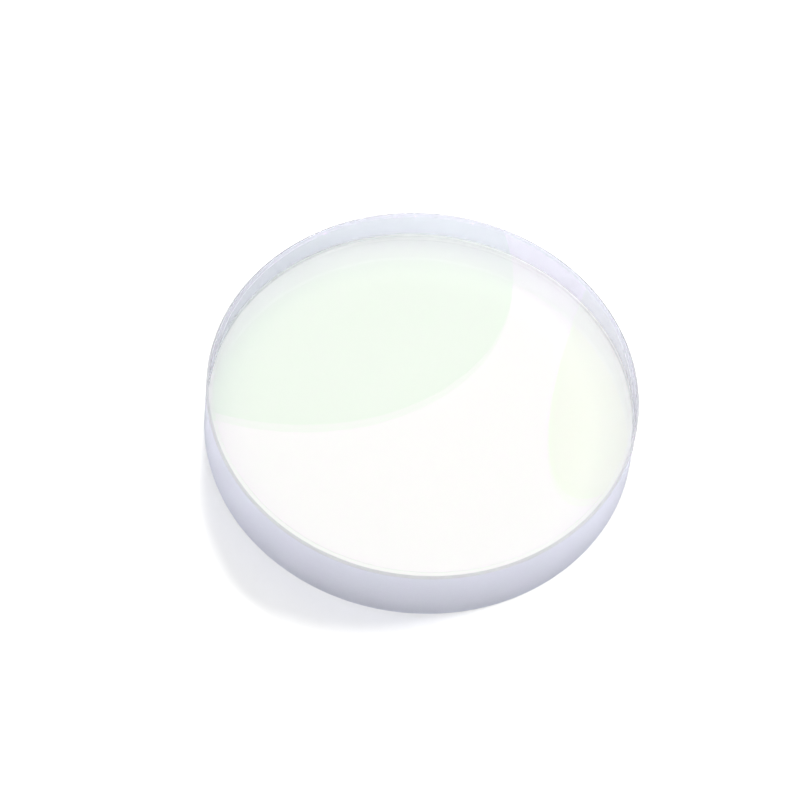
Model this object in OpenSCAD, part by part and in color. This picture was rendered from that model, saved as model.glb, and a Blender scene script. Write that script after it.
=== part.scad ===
// Watch glass: the thick flat glass of a wristwatch, off its case.
// A round plate with two polished faces, a finely ground edge, a small bevel round each face
// and a coating on each face that cuts reflections.
// The origin is at the centre of the rear face, where the glass lies, and +Z points out of the
// front face, the one the wearer looks at.

/* [Glass] */
// Diameter over the ground edge
glass_d = 30; // [12:0.5:60]
// Thickness of the glass between its two polished faces
glass_t = 5; // [1.5:0.1:12]

/* [Bevels] */
// Leg of the bevel between the front face and the edge
front_bevel = 0.15; // [0.05:0.05:0.5]
// Leg of the bevel between the rear face and the edge
rear_bevel = 0.15; // [0.05:0.05:0.5]

/* [Coatings] */
// Thickness of the coating on the front face, drawn thicker than the real film
front_coat_t = 0.02; // [0.01:0.01:0.05]
// Thickness of the coating on the rear face, drawn thicker than the real film
rear_coat_t = 0.02; // [0.01:0.01:0.05]
// Width of the bare ring that the coating jig leaves between a coating and its bevel
bare_ring = 0.3; // [0.05:0.05:1]

/* [Hidden] */
$fn = 180;

glass_r = glass_d / 2;
// Heights of the two polished faces, with the rear coating under the glass
rear_face_z = rear_coat_t;
front_face_z = rear_face_z + glass_t;

// Half section of the glass, turned about Z
module glass_section() {
    polygon([
        [0, rear_face_z],
        [glass_r - rear_bevel, rear_face_z],
        [glass_r, rear_face_z + rear_bevel],
        [glass_r, front_face_z - front_bevel],
        [glass_r - front_bevel, front_face_z],
        [0, front_face_z]
    ]);
}

// A coating on one polished face, from the centre out to the bare ring inside that face's bevel
module coating(bevel, thickness) {
    cylinder(r = glass_r - bevel - bare_ring, h = thickness);
}

module glass_body() {
    color([0.82, 0.84, 0.88])
        rotate_extrude() glass_section();
}

module front_coating() {
    color([0.90, 0.98, 0.90])
        translate([0, 0, front_face_z]) coating(front_bevel, front_coat_t);
}

module rear_coating() {
    color([0.86, 0.95, 0.88])
        coating(rear_bevel, rear_coat_t);
}

glass_body();
front_coating();
rear_coating();
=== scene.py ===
import bmesh
import bpy
import math
from mathutils import Matrix, Vector, noise


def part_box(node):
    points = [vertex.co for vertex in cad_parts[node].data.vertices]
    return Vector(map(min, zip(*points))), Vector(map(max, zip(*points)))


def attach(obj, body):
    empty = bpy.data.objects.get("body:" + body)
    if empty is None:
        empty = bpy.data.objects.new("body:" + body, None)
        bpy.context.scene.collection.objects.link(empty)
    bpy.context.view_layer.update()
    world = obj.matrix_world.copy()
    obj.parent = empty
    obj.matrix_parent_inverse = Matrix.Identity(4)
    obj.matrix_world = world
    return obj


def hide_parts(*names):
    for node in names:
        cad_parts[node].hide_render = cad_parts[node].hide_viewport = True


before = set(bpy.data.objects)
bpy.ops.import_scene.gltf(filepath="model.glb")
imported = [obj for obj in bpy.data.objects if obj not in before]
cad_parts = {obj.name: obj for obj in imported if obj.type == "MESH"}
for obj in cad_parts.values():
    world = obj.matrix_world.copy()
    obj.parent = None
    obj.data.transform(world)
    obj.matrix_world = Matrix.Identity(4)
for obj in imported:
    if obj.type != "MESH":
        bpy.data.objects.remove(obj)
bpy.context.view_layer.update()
millimetre = 0.001
print("frame loaded,", len(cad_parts), "pieces in the part")

# where the glass and its two coatings lie: all their sizes below are worked out from these corners
bodyLow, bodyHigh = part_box("glass_body")
frontLow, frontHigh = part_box("front_coating")
rearLow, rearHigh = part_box("rear_coating")
discRadius = min(bodyHigh[0], bodyHigh[1])  # the lesser reach, so the finer mesh stays in the box
turnSteps = 256  # facets round the disc, the same for the glass and both coatings
firstColor, secondColor, mixedColor = 6, 7, 2  # the sockets that a Mix node keeps for colours


def addNode(tree, kind, values=None, **settings):
    # one node, with its settings and the values of its sockets, by name or by number
    node = tree.nodes.new("ShaderNode" + kind)
    for name, value in settings.items():
        setattr(node, name, value)
    for socket, value in (values or {}).items():
        node.inputs[socket].default_value = value
    return node


def newGroup(name, inputs, outputs):
    # a shader group with named sockets, given as (name, type, starting value)
    group = bpy.data.node_groups.new(name, "ShaderNodeTree")
    for label, kind, value in inputs:
        socket = group.interface.new_socket(label, in_out="INPUT", socket_type="NodeSocket" + kind)
        socket.default_value = value
    for label, kind in outputs:
        group.interface.new_socket(label, in_out="OUTPUT", socket_type="NodeSocket" + kind)
    return group, group.nodes.new("NodeGroupInput"), group.nodes.new("NodeGroupOutput")


def newMaterial(name):
    # a material with one plain shader wired to its output
    material = bpy.data.materials.new(name)
    material.use_nodes = True
    tree = material.node_tree
    tree.nodes.clear()
    output = addNode(tree, "OutputMaterial")
    shader = addNode(tree, "BsdfPrincipled")
    tree.links.new(shader.outputs["BSDF"], output.inputs["Surface"])
    return material, tree, shader


def placeGroup(tree, group, values):
    node = tree.nodes.new("ShaderNodeGroup")
    node.node_tree = group
    for socket, value in values.items():
        node.inputs[socket].default_value = value
    return node


def makeGrindGroup():
    # loose-grit grinding: fine pits all over, and faint lay lines that run round the rim
    group, given, result = newGroup(
        "grindGrain",
        [("Ground Color", "Color", (0.6, 0.62, 0.7, 1)), ("Worn Color", "Color", (0.7, 0.72, 0.8, 1)),
         ("Roughness", "Float", 0.8), ("Roughness Spread", "Float", 0.1),
         ("Grit Scale", "Float", 9000.0), ("Lay Scale", "Float", 1500.0)],
        [("Color", "Color"), ("Roughness", "Float"), ("Height", "Float")])
    link = group.links.new
    place = addNode(group, "TexCoord")
    stretch = addNode(group, "VectorMath", {1: (1.0, 1.0, 9.0)}, operation="MULTIPLY")
    grit = addNode(group, "TexNoise", {"Detail": 3.0, "Roughness": 0.65})
    lay = addNode(group, "TexNoise", {"Detail": 2.0, "Roughness": 0.5})
    pits = addNode(group, "TexVoronoi")
    pitMask = addNode(group, "MapRange", {"From Min": 0.05, "From Max": 0.32})
    blend = addNode(group, "Mix", {0: 0.35})
    carve = addNode(group, "Math", operation="MULTIPLY")
    contrast = addNode(group, "MapRange", {"From Min": 0.3, "From Max": 0.66})
    colour = addNode(group, "Mix", data_type="RGBA")
    offset = addNode(group, "Math", {1: 0.5}, operation="SUBTRACT")
    rough = addNode(group, "Math", operation="MULTIPLY_ADD")
    link(place.outputs["Object"], stretch.inputs[0])
    link(place.outputs["Object"], grit.inputs["Vector"])
    link(place.outputs["Object"], pits.inputs["Vector"])
    link(stretch.outputs["Vector"], lay.inputs["Vector"])
    link(given.outputs["Grit Scale"], grit.inputs["Scale"])
    link(given.outputs["Grit Scale"], pits.inputs["Scale"])
    link(given.outputs["Lay Scale"], lay.inputs["Scale"])
    link(pits.outputs["Distance"], pitMask.inputs["Value"])
    link(grit.outputs["Fac"], blend.inputs[2])
    link(lay.outputs["Fac"], blend.inputs[3])
    link(blend.outputs[0], contrast.inputs["Value"])
    link(contrast.outputs["Result"], carve.inputs[0])
    link(pitMask.outputs["Result"], carve.inputs[1])
    link(contrast.outputs["Result"], colour.inputs[0])
    link(given.outputs["Ground Color"], colour.inputs[firstColor])
    link(given.outputs["Worn Color"], colour.inputs[secondColor])
    link(contrast.outputs["Result"], offset.inputs[0])
    link(offset.outputs["Value"], rough.inputs[0])
    link(given.outputs["Roughness Spread"], rough.inputs[1])
    link(given.outputs["Roughness"], rough.inputs[2])
    link(colour.outputs[mixedColor], result.inputs["Color"])
    link(rough.outputs["Value"], result.inputs["Roughness"])
    link(carve.outputs["Value"], result.inputs["Height"])
    return group


def makeWipeGroup():
    # what is left on a polished face after wiping: broad faint smears and a few specks of dust
    group, given, result = newGroup(
        "wipeMarks",
        [("Clear Color", "Color", (1, 1, 1, 1)), ("Dust Color", "Color", (0.86, 0.86, 0.84, 1)),
         ("Smear Scale", "Float", 160.0), ("Smear Haze", "Float", 0.02),
         ("Dust Scale", "Float", 420.0), ("Dust Size", "Float", 0.03), ("Dust Haze", "Float", 0.3)],
        [("Color", "Color"), ("Roughness", "Float")])
    link = group.links.new
    place = addNode(group, "TexCoord")
    smear = addNode(group, "TexNoise", {"Detail": 4.0, "Roughness": 0.55, "Distortion": 1.2})
    smearMask = addNode(group, "MapRange", {"From Min": 0.48, "From Max": 0.72})
    smearHaze = addNode(group, "Math", operation="MULTIPLY")
    specks = addNode(group, "TexVoronoi")
    near = addNode(group, "Math", operation="LESS_THAN")
    kept = addNode(group, "Math", {1: 0.72}, operation="GREATER_THAN")  # three cells in four stay clean
    speckTone = addNode(group, "SeparateColor")
    dust = addNode(group, "Math", operation="MULTIPLY")
    colour = addNode(group, "Mix", data_type="RGBA")
    rough = addNode(group, "Math", operation="MULTIPLY_ADD")
    link(place.outputs["Object"], smear.inputs["Vector"])
    link(place.outputs["Object"], specks.inputs["Vector"])
    link(given.outputs["Smear Scale"], smear.inputs["Scale"])
    link(smear.outputs["Fac"], smearMask.inputs["Value"])
    link(smearMask.outputs["Result"], smearHaze.inputs[0])
    link(given.outputs["Smear Haze"], smearHaze.inputs[1])
    link(given.outputs["Dust Scale"], specks.inputs["Scale"])
    link(specks.outputs["Distance"], near.inputs[0])
    link(given.outputs["Dust Size"], near.inputs[1])
    link(specks.outputs["Color"], speckTone.inputs["Color"])
    link(speckTone.outputs["Red"], kept.inputs[0])
    link(near.outputs["Value"], dust.inputs[0])
    link(kept.outputs["Value"], dust.inputs[1])
    link(dust.outputs["Value"], colour.inputs[0])
    link(given.outputs["Clear Color"], colour.inputs[firstColor])
    link(given.outputs["Dust Color"], colour.inputs[secondColor])
    link(dust.outputs["Value"], rough.inputs[0])
    link(given.outputs["Dust Haze"], rough.inputs[1])
    link(smearHaze.outputs["Value"], rough.inputs[2])
    link(colour.outputs[mixedColor], result.inputs["Color"])
    link(rough.outputs["Value"], result.inputs["Roughness"])
    return group


grindGrain = makeGrindGroup()
wipeMarks = makeWipeGroup()
print("grinding and wiping groups ready")

glassIndex = 1.52  # crown glass
filmIndex = 1.38  # the usual low-index coating material


def makePolished():
    # the coating takes up what the bare glass would mirror, so the glass itself mirrors nothing
    polish = {"Clear Color": (1, 1, 1, 1), "Dust Color": (0.93, 0.93, 0.92, 1),
              "Smear Scale": 240.0, "Smear Haze": 0.006,
              "Dust Scale": 900.0, "Dust Size": 0.02, "Dust Haze": 0.05}
    material, tree, shader = newMaterial("polishedFace")
    shader.inputs["Transmission Weight"].default_value = 1
    shader.inputs["IOR"].default_value = glassIndex
    shader.inputs["Specular Tint"].default_value = (0, 0, 0, 1)
    marks = placeGroup(tree, wipeMarks, polish)
    tree.links.new(marks.outputs["Color"], shader.inputs["Base Color"])
    tree.links.new(marks.outputs["Roughness"], shader.inputs["Roughness"])
    return material


def makeGround(name, finish, relief):
    material, tree, shader = newMaterial(name)
    shader.inputs["Transmission Weight"].default_value = 1
    shader.inputs["IOR"].default_value = glassIndex
    grain = placeGroup(tree, grindGrain, finish)
    bump = addNode(tree, "Bump", relief)
    tree.links.new(grain.outputs["Color"], shader.inputs["Base Color"])
    tree.links.new(grain.outputs["Roughness"], shader.inputs["Roughness"])
    tree.links.new(grain.outputs["Height"], bump.inputs["Height"])
    tree.links.new(bump.outputs["Normal"], shader.inputs["Normal"])
    return material


def makeFilm(name, wiped):
    # a coating mirrors only red and blue, so a face that mirrors something dark looks green there
    material, tree, shader = newMaterial(name)
    shader.inputs["Transmission Weight"].default_value = 1
    shader.inputs["IOR"].default_value = filmIndex
    shader.inputs["Specular Tint"].default_value = filmTint
    marks = placeGroup(tree, wipeMarks, wiped)
    tree.links.new(marks.outputs["Color"], shader.inputs["Base Color"])
    tree.links.new(marks.outputs["Roughness"], shader.inputs["Roughness"])
    return material


edgeFinish = {"Ground Color": (0.605, 0.62, 0.76, 1), "Worn Color": (0.675, 0.69, 0.83, 1),
              "Roughness": 0.8, "Roughness Spread": 0.1, "Grit Scale": 9000.0, "Lay Scale": 1500.0}
edgeRelief = {"Strength": 0.35, "Distance": 0.004 * millimetre}
bevelFinish = {"Ground Color": (0.44, 0.45, 0.5, 1), "Worn Color": (0.6, 0.61, 0.65, 1),
               "Roughness": 0.6, "Roughness Spread": 0.16, "Grit Scale": 14000.0, "Lay Scale": 2600.0}
bevelRelief = {"Strength": 0.35, "Distance": 0.003 * millimetre}
filmTint = (0.7, 0.0, 0.7, 1)  # what a coating mirrors
frontWiped = {"Clear Color": (1, 1, 1, 1), "Dust Color": (0.9, 0.9, 0.88, 1),
              "Smear Scale": 160.0, "Smear Haze": 0.018,
              "Dust Scale": 420.0, "Dust Size": 0.022, "Dust Haze": 0.25}
rearWiped = {"Clear Color": (1, 1, 1, 1), "Dust Color": (0.88, 0.88, 0.86, 1),
             "Smear Scale": 120.0, "Smear Haze": 0.022,
             "Dust Scale": 520.0, "Dust Size": 0.024, "Dust Haze": 0.3}
polishedFace = makePolished()
groundEdge = makeGround("groundEdge", edgeFinish, edgeRelief)
groundBevel = makeGround("groundBevel", bevelFinish, bevelRelief)
frontFilm = makeFilm("frontFilm", frontWiped)
rearFilm = makeFilm("rearFilm", rearWiped)
print("glass, edge and coating finishes ready")


def makePiece(name, mesh, replacedNode):
    piece = bpy.data.objects.new(name, mesh)
    bpy.context.scene.collection.objects.link(piece)
    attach(piece, "root")
    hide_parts(replacedNode)


def roundCorner(before, corner, after, radius, steps, hold):
    # a small arc in place of one corner of an outline, and a point close by on each side of it,
    # which keeps the shading of the flats flat
    toBefore = (Vector(before) - Vector(corner)).normalized()
    toAfter = (Vector(after) - Vector(corner)).normalized()
    half = toBefore.angle(toAfter) / 2
    reach = radius / math.tan(half)
    centre = Vector(corner) + (toBefore + toAfter).normalized() * (radius / math.sin(half))
    first = (Vector(corner) + toBefore * reach - centre).normalized()
    last = (Vector(corner) + toAfter * reach - centre).normalized()
    spots = [Vector(corner) + toBefore * (reach + hold)]
    spots += [centre + first.slerp(last, step / steps) * radius for step in range(steps + 1)]
    spots.append(Vector(corner) + toAfter * (reach + hold))
    return [(spot.x, round(spot.y, 9)) for spot in spots]  # rounded, so that no face dips below zero


def turnOutline(mesh, outline, slots, wobble=None):
    # turns an outline of (radius, height) points, from axis to axis, once round the axis of the disc
    build = bmesh.new()
    rings = []
    for radius, height in outline:
        if radius == 0:
            rings.append([build.verts.new((0, 0, height))])
            continue
        ring = []
        for step in range(turnSteps):
            angle = 2 * math.pi * step / turnSteps
            cut = wobble(angle, radius, height) if wobble else 0
            across, along = (radius - cut) * math.cos(angle), (radius - cut) * math.sin(angle)
            ring.append(build.verts.new((across, along, height)))
        rings.append(ring)
    for below, above, slot in zip(rings, rings[1:], slots):
        for step in range(turnSteps):
            after = (step + 1) % turnSteps
            if len(below) == 1:
                corners = [below[0], above[after], above[step]]
            elif len(above) == 1:
                corners = [below[step], below[after], above[0]]
            else:
                corners = [below[step], below[after], above[after], above[step]]
            face = build.faces.new(corners)
            face.material_index = slot
            face.smooth = True
    build.normal_update()
    build.to_mesh(mesh)
    build.free()


def makeBody():
    bodySizes = {"bevelLeg": 0.15 * millimetre, "cornerRadius": 0.04 * millimetre, "cornerSteps": 3,
                 "hold": 0.02 * millimetre, "bevelWander": 0.012 * millimetre, "wanderTurns": 9.0}
    leg, corner, steps = bodySizes["bevelLeg"], bodySizes["cornerRadius"], bodySizes["cornerSteps"]
    low, high = bodyLow[2], bodyHigh[2]
    sharp = [(0, low), (discRadius - leg, low), (discRadius, low + leg),
             (discRadius, high - leg), (discRadius - leg, high), (0, high)]
    outline = [sharp[0]]
    for index in range(1, 5):
        outline += roundCorner(*sharp[index - 1:index + 2], corner, steps, bodySizes["hold"])
    outline.append(sharp[5])
    face, edge, bevel = 0, 1, 2  # the order of the materials below
    bevelBands = [bevel] * (2 * steps + 3)
    slots = [face] * 2 + bevelBands + [edge] * 3 + bevelBands + [face] * 2

    def wander(angle, radius, height):
        # a hand-held bevel is never quite even, it only ever cuts inwards
        if radius > discRadius - corner or radius < discRadius - leg - corner:
            return 0
        spot = Vector((math.cos(angle), math.sin(angle), height / (high - low)))
        return bodySizes["bevelWander"] * (0.5 + 0.5 * noise.noise(spot * bodySizes["wanderTurns"]))

    mesh = bpy.data.meshes.new("glassBody")
    turnOutline(mesh, outline, slots, wander)
    for material in (polishedFace, groundEdge, groundBevel):
        mesh.materials.append(material)
    makePiece("glassBody", mesh, "glass_body")


def makeCoating(coating):
    low, high = coating["box"]
    bottom, top = low[2] + coating["gapBelow"], high[2] - coating["gapAbove"]
    radius = min(high[0], high[1])
    ease, steps = coating["rimEase"], coating["rimSteps"]
    sharp = [(0, bottom), (radius, bottom), (radius, top), (0, top)]
    outline = [sharp[0]]
    for index in (1, 2):
        outline += roundCorner(*sharp[index - 1:index + 2], ease, steps, ease / 4)
    outline.append(sharp[3])
    mesh = bpy.data.meshes.new(coating["name"])
    turnOutline(mesh, outline, [0] * (len(outline) - 1))
    mesh.materials.append(coating["film"])
    makePiece(coating["name"], mesh, coating["node"])


# each coating keeps a hair clear of the glass, so that no two surfaces lie in one plane
frontCoating = {"name": "frontCoating", "box": (frontLow, frontHigh),
                "gapBelow": 0.002 * millimetre, "gapAbove": 0,
                "rimEase": 0.006 * millimetre, "rimSteps": 3,
                "film": frontFilm, "slot": "front_film", "node": "front_coating"}
rearCoating = {"name": "rearCoating", "box": (rearLow, rearHigh),
               "gapBelow": 0, "gapAbove": 0.002 * millimetre,
               "rimEase": 0.006 * millimetre, "rimSteps": 3,
               "film": rearFilm, "slot": "rear_film", "node": "rear_coating"}
makeBody()
makeCoating(frontCoating)
makeCoating(rearCoating)
print("glass body and both coatings made")


def makeMatt(name, firstTone, secondTone, scale, detail, shine):
    # a dull board or cloth with a fine two-tone fibre
    material, tree, shader = newMaterial(name)
    fibre = addNode(tree, "TexNoise", {"Scale": scale, "Detail": detail})
    tone = addNode(tree, "Mix", {firstColor: firstTone, secondColor: secondTone}, data_type="RGBA")
    tree.links.new(addNode(tree, "TexCoord").outputs["Object"], fibre.inputs["Vector"])
    tree.links.new(fibre.outputs["Fac"], tone.inputs[0])
    tree.links.new(tone.outputs[mixedColor], shader.inputs["Base Color"])
    shader.inputs["Roughness"].default_value = 0.9
    shader.inputs["Specular IOR Level"].default_value = shine
    return material


def makeFloor():
    floorSizes = {"half": 2.0, "drop": 0.01 * millimetre, "paleTone": (0.9, 0.9, 0.9, 1),
                  "fibreTone": (0.885, 0.885, 0.885, 1), "fibreScale": 1800.0, "fibreDetail": 3.0,
                  "shine": 0.0}
    half, drop = floorSizes["half"], -floorSizes["drop"]  # just clear of the rear coating
    mesh = bpy.data.meshes.new("floor")
    corners = [(-half, -half, drop), (half, -half, drop), (half, half, drop), (-half, half, drop)]
    mesh.from_pydata(corners, [], [(0, 1, 2, 3)])
    floor = bpy.data.objects.new("floor", mesh)
    bpy.context.scene.collection.objects.link(floor)
    mesh.materials.append(makeMatt("paleBoard", floorSizes["paleTone"], floorSizes["fibreTone"],
                                   floorSizes["fibreScale"], floorSizes["fibreDetail"],
                                   floorSizes["shine"]))


def makeCamera():
    view = {"elevation": math.radians(57.4), "roll": math.radians(7), "distance": 0.3,
            "lens": 195.5, "sensor": 36, "nearest": 0.01,
            "aimLeft": 1.614 * millimetre, "aimDown": 0.693 * millimetre}
    forward = Vector((0, math.cos(view["elevation"]), -math.sin(view["elevation"])))
    level = Vector((1, 0, 0))
    rise = level.cross(forward)
    right = math.cos(view["roll"]) * level + math.sin(view["roll"]) * rise
    up = math.cos(view["roll"]) * rise - math.sin(view["roll"]) * level
    aim = Vector((0, 0, bodyHigh[2])) - view["aimLeft"] * right - view["aimDown"] * up
    data = bpy.data.cameras.new("camera")
    data.lens = view["lens"]
    data.sensor_width = view["sensor"]
    data.clip_start = view["nearest"]
    camera = bpy.data.objects.new("camera", data)
    turn = Matrix((right, up, -forward)).transposed().to_4x4()
    camera.matrix_world = Matrix.Translation(aim - view["distance"] * forward) @ turn
    bpy.context.scene.collection.objects.link(camera)
    bpy.context.scene.camera = camera


def makeRoom():
    # a white room, brightest high at the back, and dimmer and cooler on the side of the camera
    room = {"cameraSide": (0.17, 0.18, 0.25, 1), "farSide": (1.28, 1.28, 1.24, 1),
            "brightest": (0, 0.6, 0.8)}
    world = bpy.data.worlds.new("studio")
    bpy.context.scene.world = world
    world.use_nodes = True
    tree = world.node_tree
    place = addNode(tree, "TexCoord")
    toward = addNode(tree, "VectorMath", {1: room["brightest"]}, operation="DOT_PRODUCT")
    depth = addNode(tree, "MapRange", {"From Min": -1})
    colour = addNode(tree, "Mix", {firstColor: room["cameraSide"], secondColor: room["farSide"]},
                     data_type="RGBA")
    tree.links.new(place.outputs["Generated"], toward.inputs[0])
    tree.links.new(toward.outputs["Value"], depth.inputs["Value"])
    tree.links.new(depth.outputs["Result"], colour.inputs[0])
    tree.links.new(colour.outputs[mixedColor], tree.nodes["Background"].inputs["Color"])


def makeLamps():
    # two round softboxes, one at the right and one behind, whose shadows cross at the front left
    softbox = {"white": (1.0, 0.985, 0.91), "distance": 0.5, "size": 0.12}
    lamps = {
        "rightSoftbox": {"from": Vector((4.5, 1.8, 5.0)), "power": 1.2},
        "backSoftbox": {"from": Vector((-0.5, 5.4, 5.0)), "power": 1.8},
    }
    for name, place in lamps.items():
        light = bpy.data.lights.new(name, "AREA")
        light.shape = "DISK"
        light.size = softbox["size"]
        light.energy = place["power"]
        light.color = softbox["white"]
        lamp = bpy.data.objects.new(name, light)
        direction = place["from"].normalized()
        lamp.location = direction * softbox["distance"]
        lamp.rotation_euler = direction.to_track_quat("Z", "Y").to_euler()
        bpy.context.scene.collection.objects.link(lamp)


def makeCards():
    # oval cards, high at the back, that the polished faces mirror: a dark flag and a gold bounce
    cards = {
        "flag": {"centre": Vector((-0.0566, 0.849, 1.2418)),
                 "halfWidth": 0.096, "halfHeight": 0.066, "tilt": 0.0,
                 "dark": (0.015, 0.015, 0.015, 1), "light": (0.026, 0.026, 0.026, 1)},
        "goldBounce": {"centre": Vector((0.099, 0.849, 1.2418)),
                       "halfWidth": 0.030, "halfHeight": 0.085, "tilt": 0.3,
                       "dark": (0.8, 0.6, 0.16, 1), "light": (0.92, 0.72, 0.22, 1)},
    }
    cloth = {"rimSteps": 96, "weaveScale": 900.0, "weaveDetail": 2.0, "shine": 0.5}
    for name, card in cards.items():
        facing = -card["centre"].normalized()
        level = Vector((1, 0, 0))
        rise = facing.cross(level)
        across = math.cos(card["tilt"]) * level + math.sin(card["tilt"]) * rise
        along = facing.cross(across)
        build = bmesh.new()
        rim = []
        for step in range(cloth["rimSteps"]):
            angle = 2 * math.pi * step / cloth["rimSteps"]
            spot = across * (card["halfWidth"] * math.cos(angle))
            spot += along * (card["halfHeight"] * math.sin(angle))
            rim.append(build.verts.new(card["centre"] + spot))
        build.faces.new(rim)
        mesh = bpy.data.meshes.new(name)
        build.to_mesh(mesh)
        build.free()
        piece = bpy.data.objects.new(name, mesh)
        bpy.context.scene.collection.objects.link(piece)
        mesh.materials.append(makeMatt(name + "Cloth", card["dark"], card["light"],
                                       cloth["weaveScale"], cloth["weaveDetail"], cloth["shine"]))


def setLook():
    scene = bpy.context.scene
    scene.view_settings.view_transform = "Standard"
    scene.cycles.max_bounces = 32  # light crosses a thick disc many times before it leaves
    scene.cycles.transmission_bounces = 32
    scene.cycles.sample_clamp_indirect = 4  # tones down the softboxes' light through the glass
    scene.cycles.blur_glossy = 0  # clear glass goes dark when its light is blurred


makeFloor()
makeCamera()
makeRoom()
makeLamps()
makeCards()
setLook()
print("floor, camera, room, lamps and cards ready")
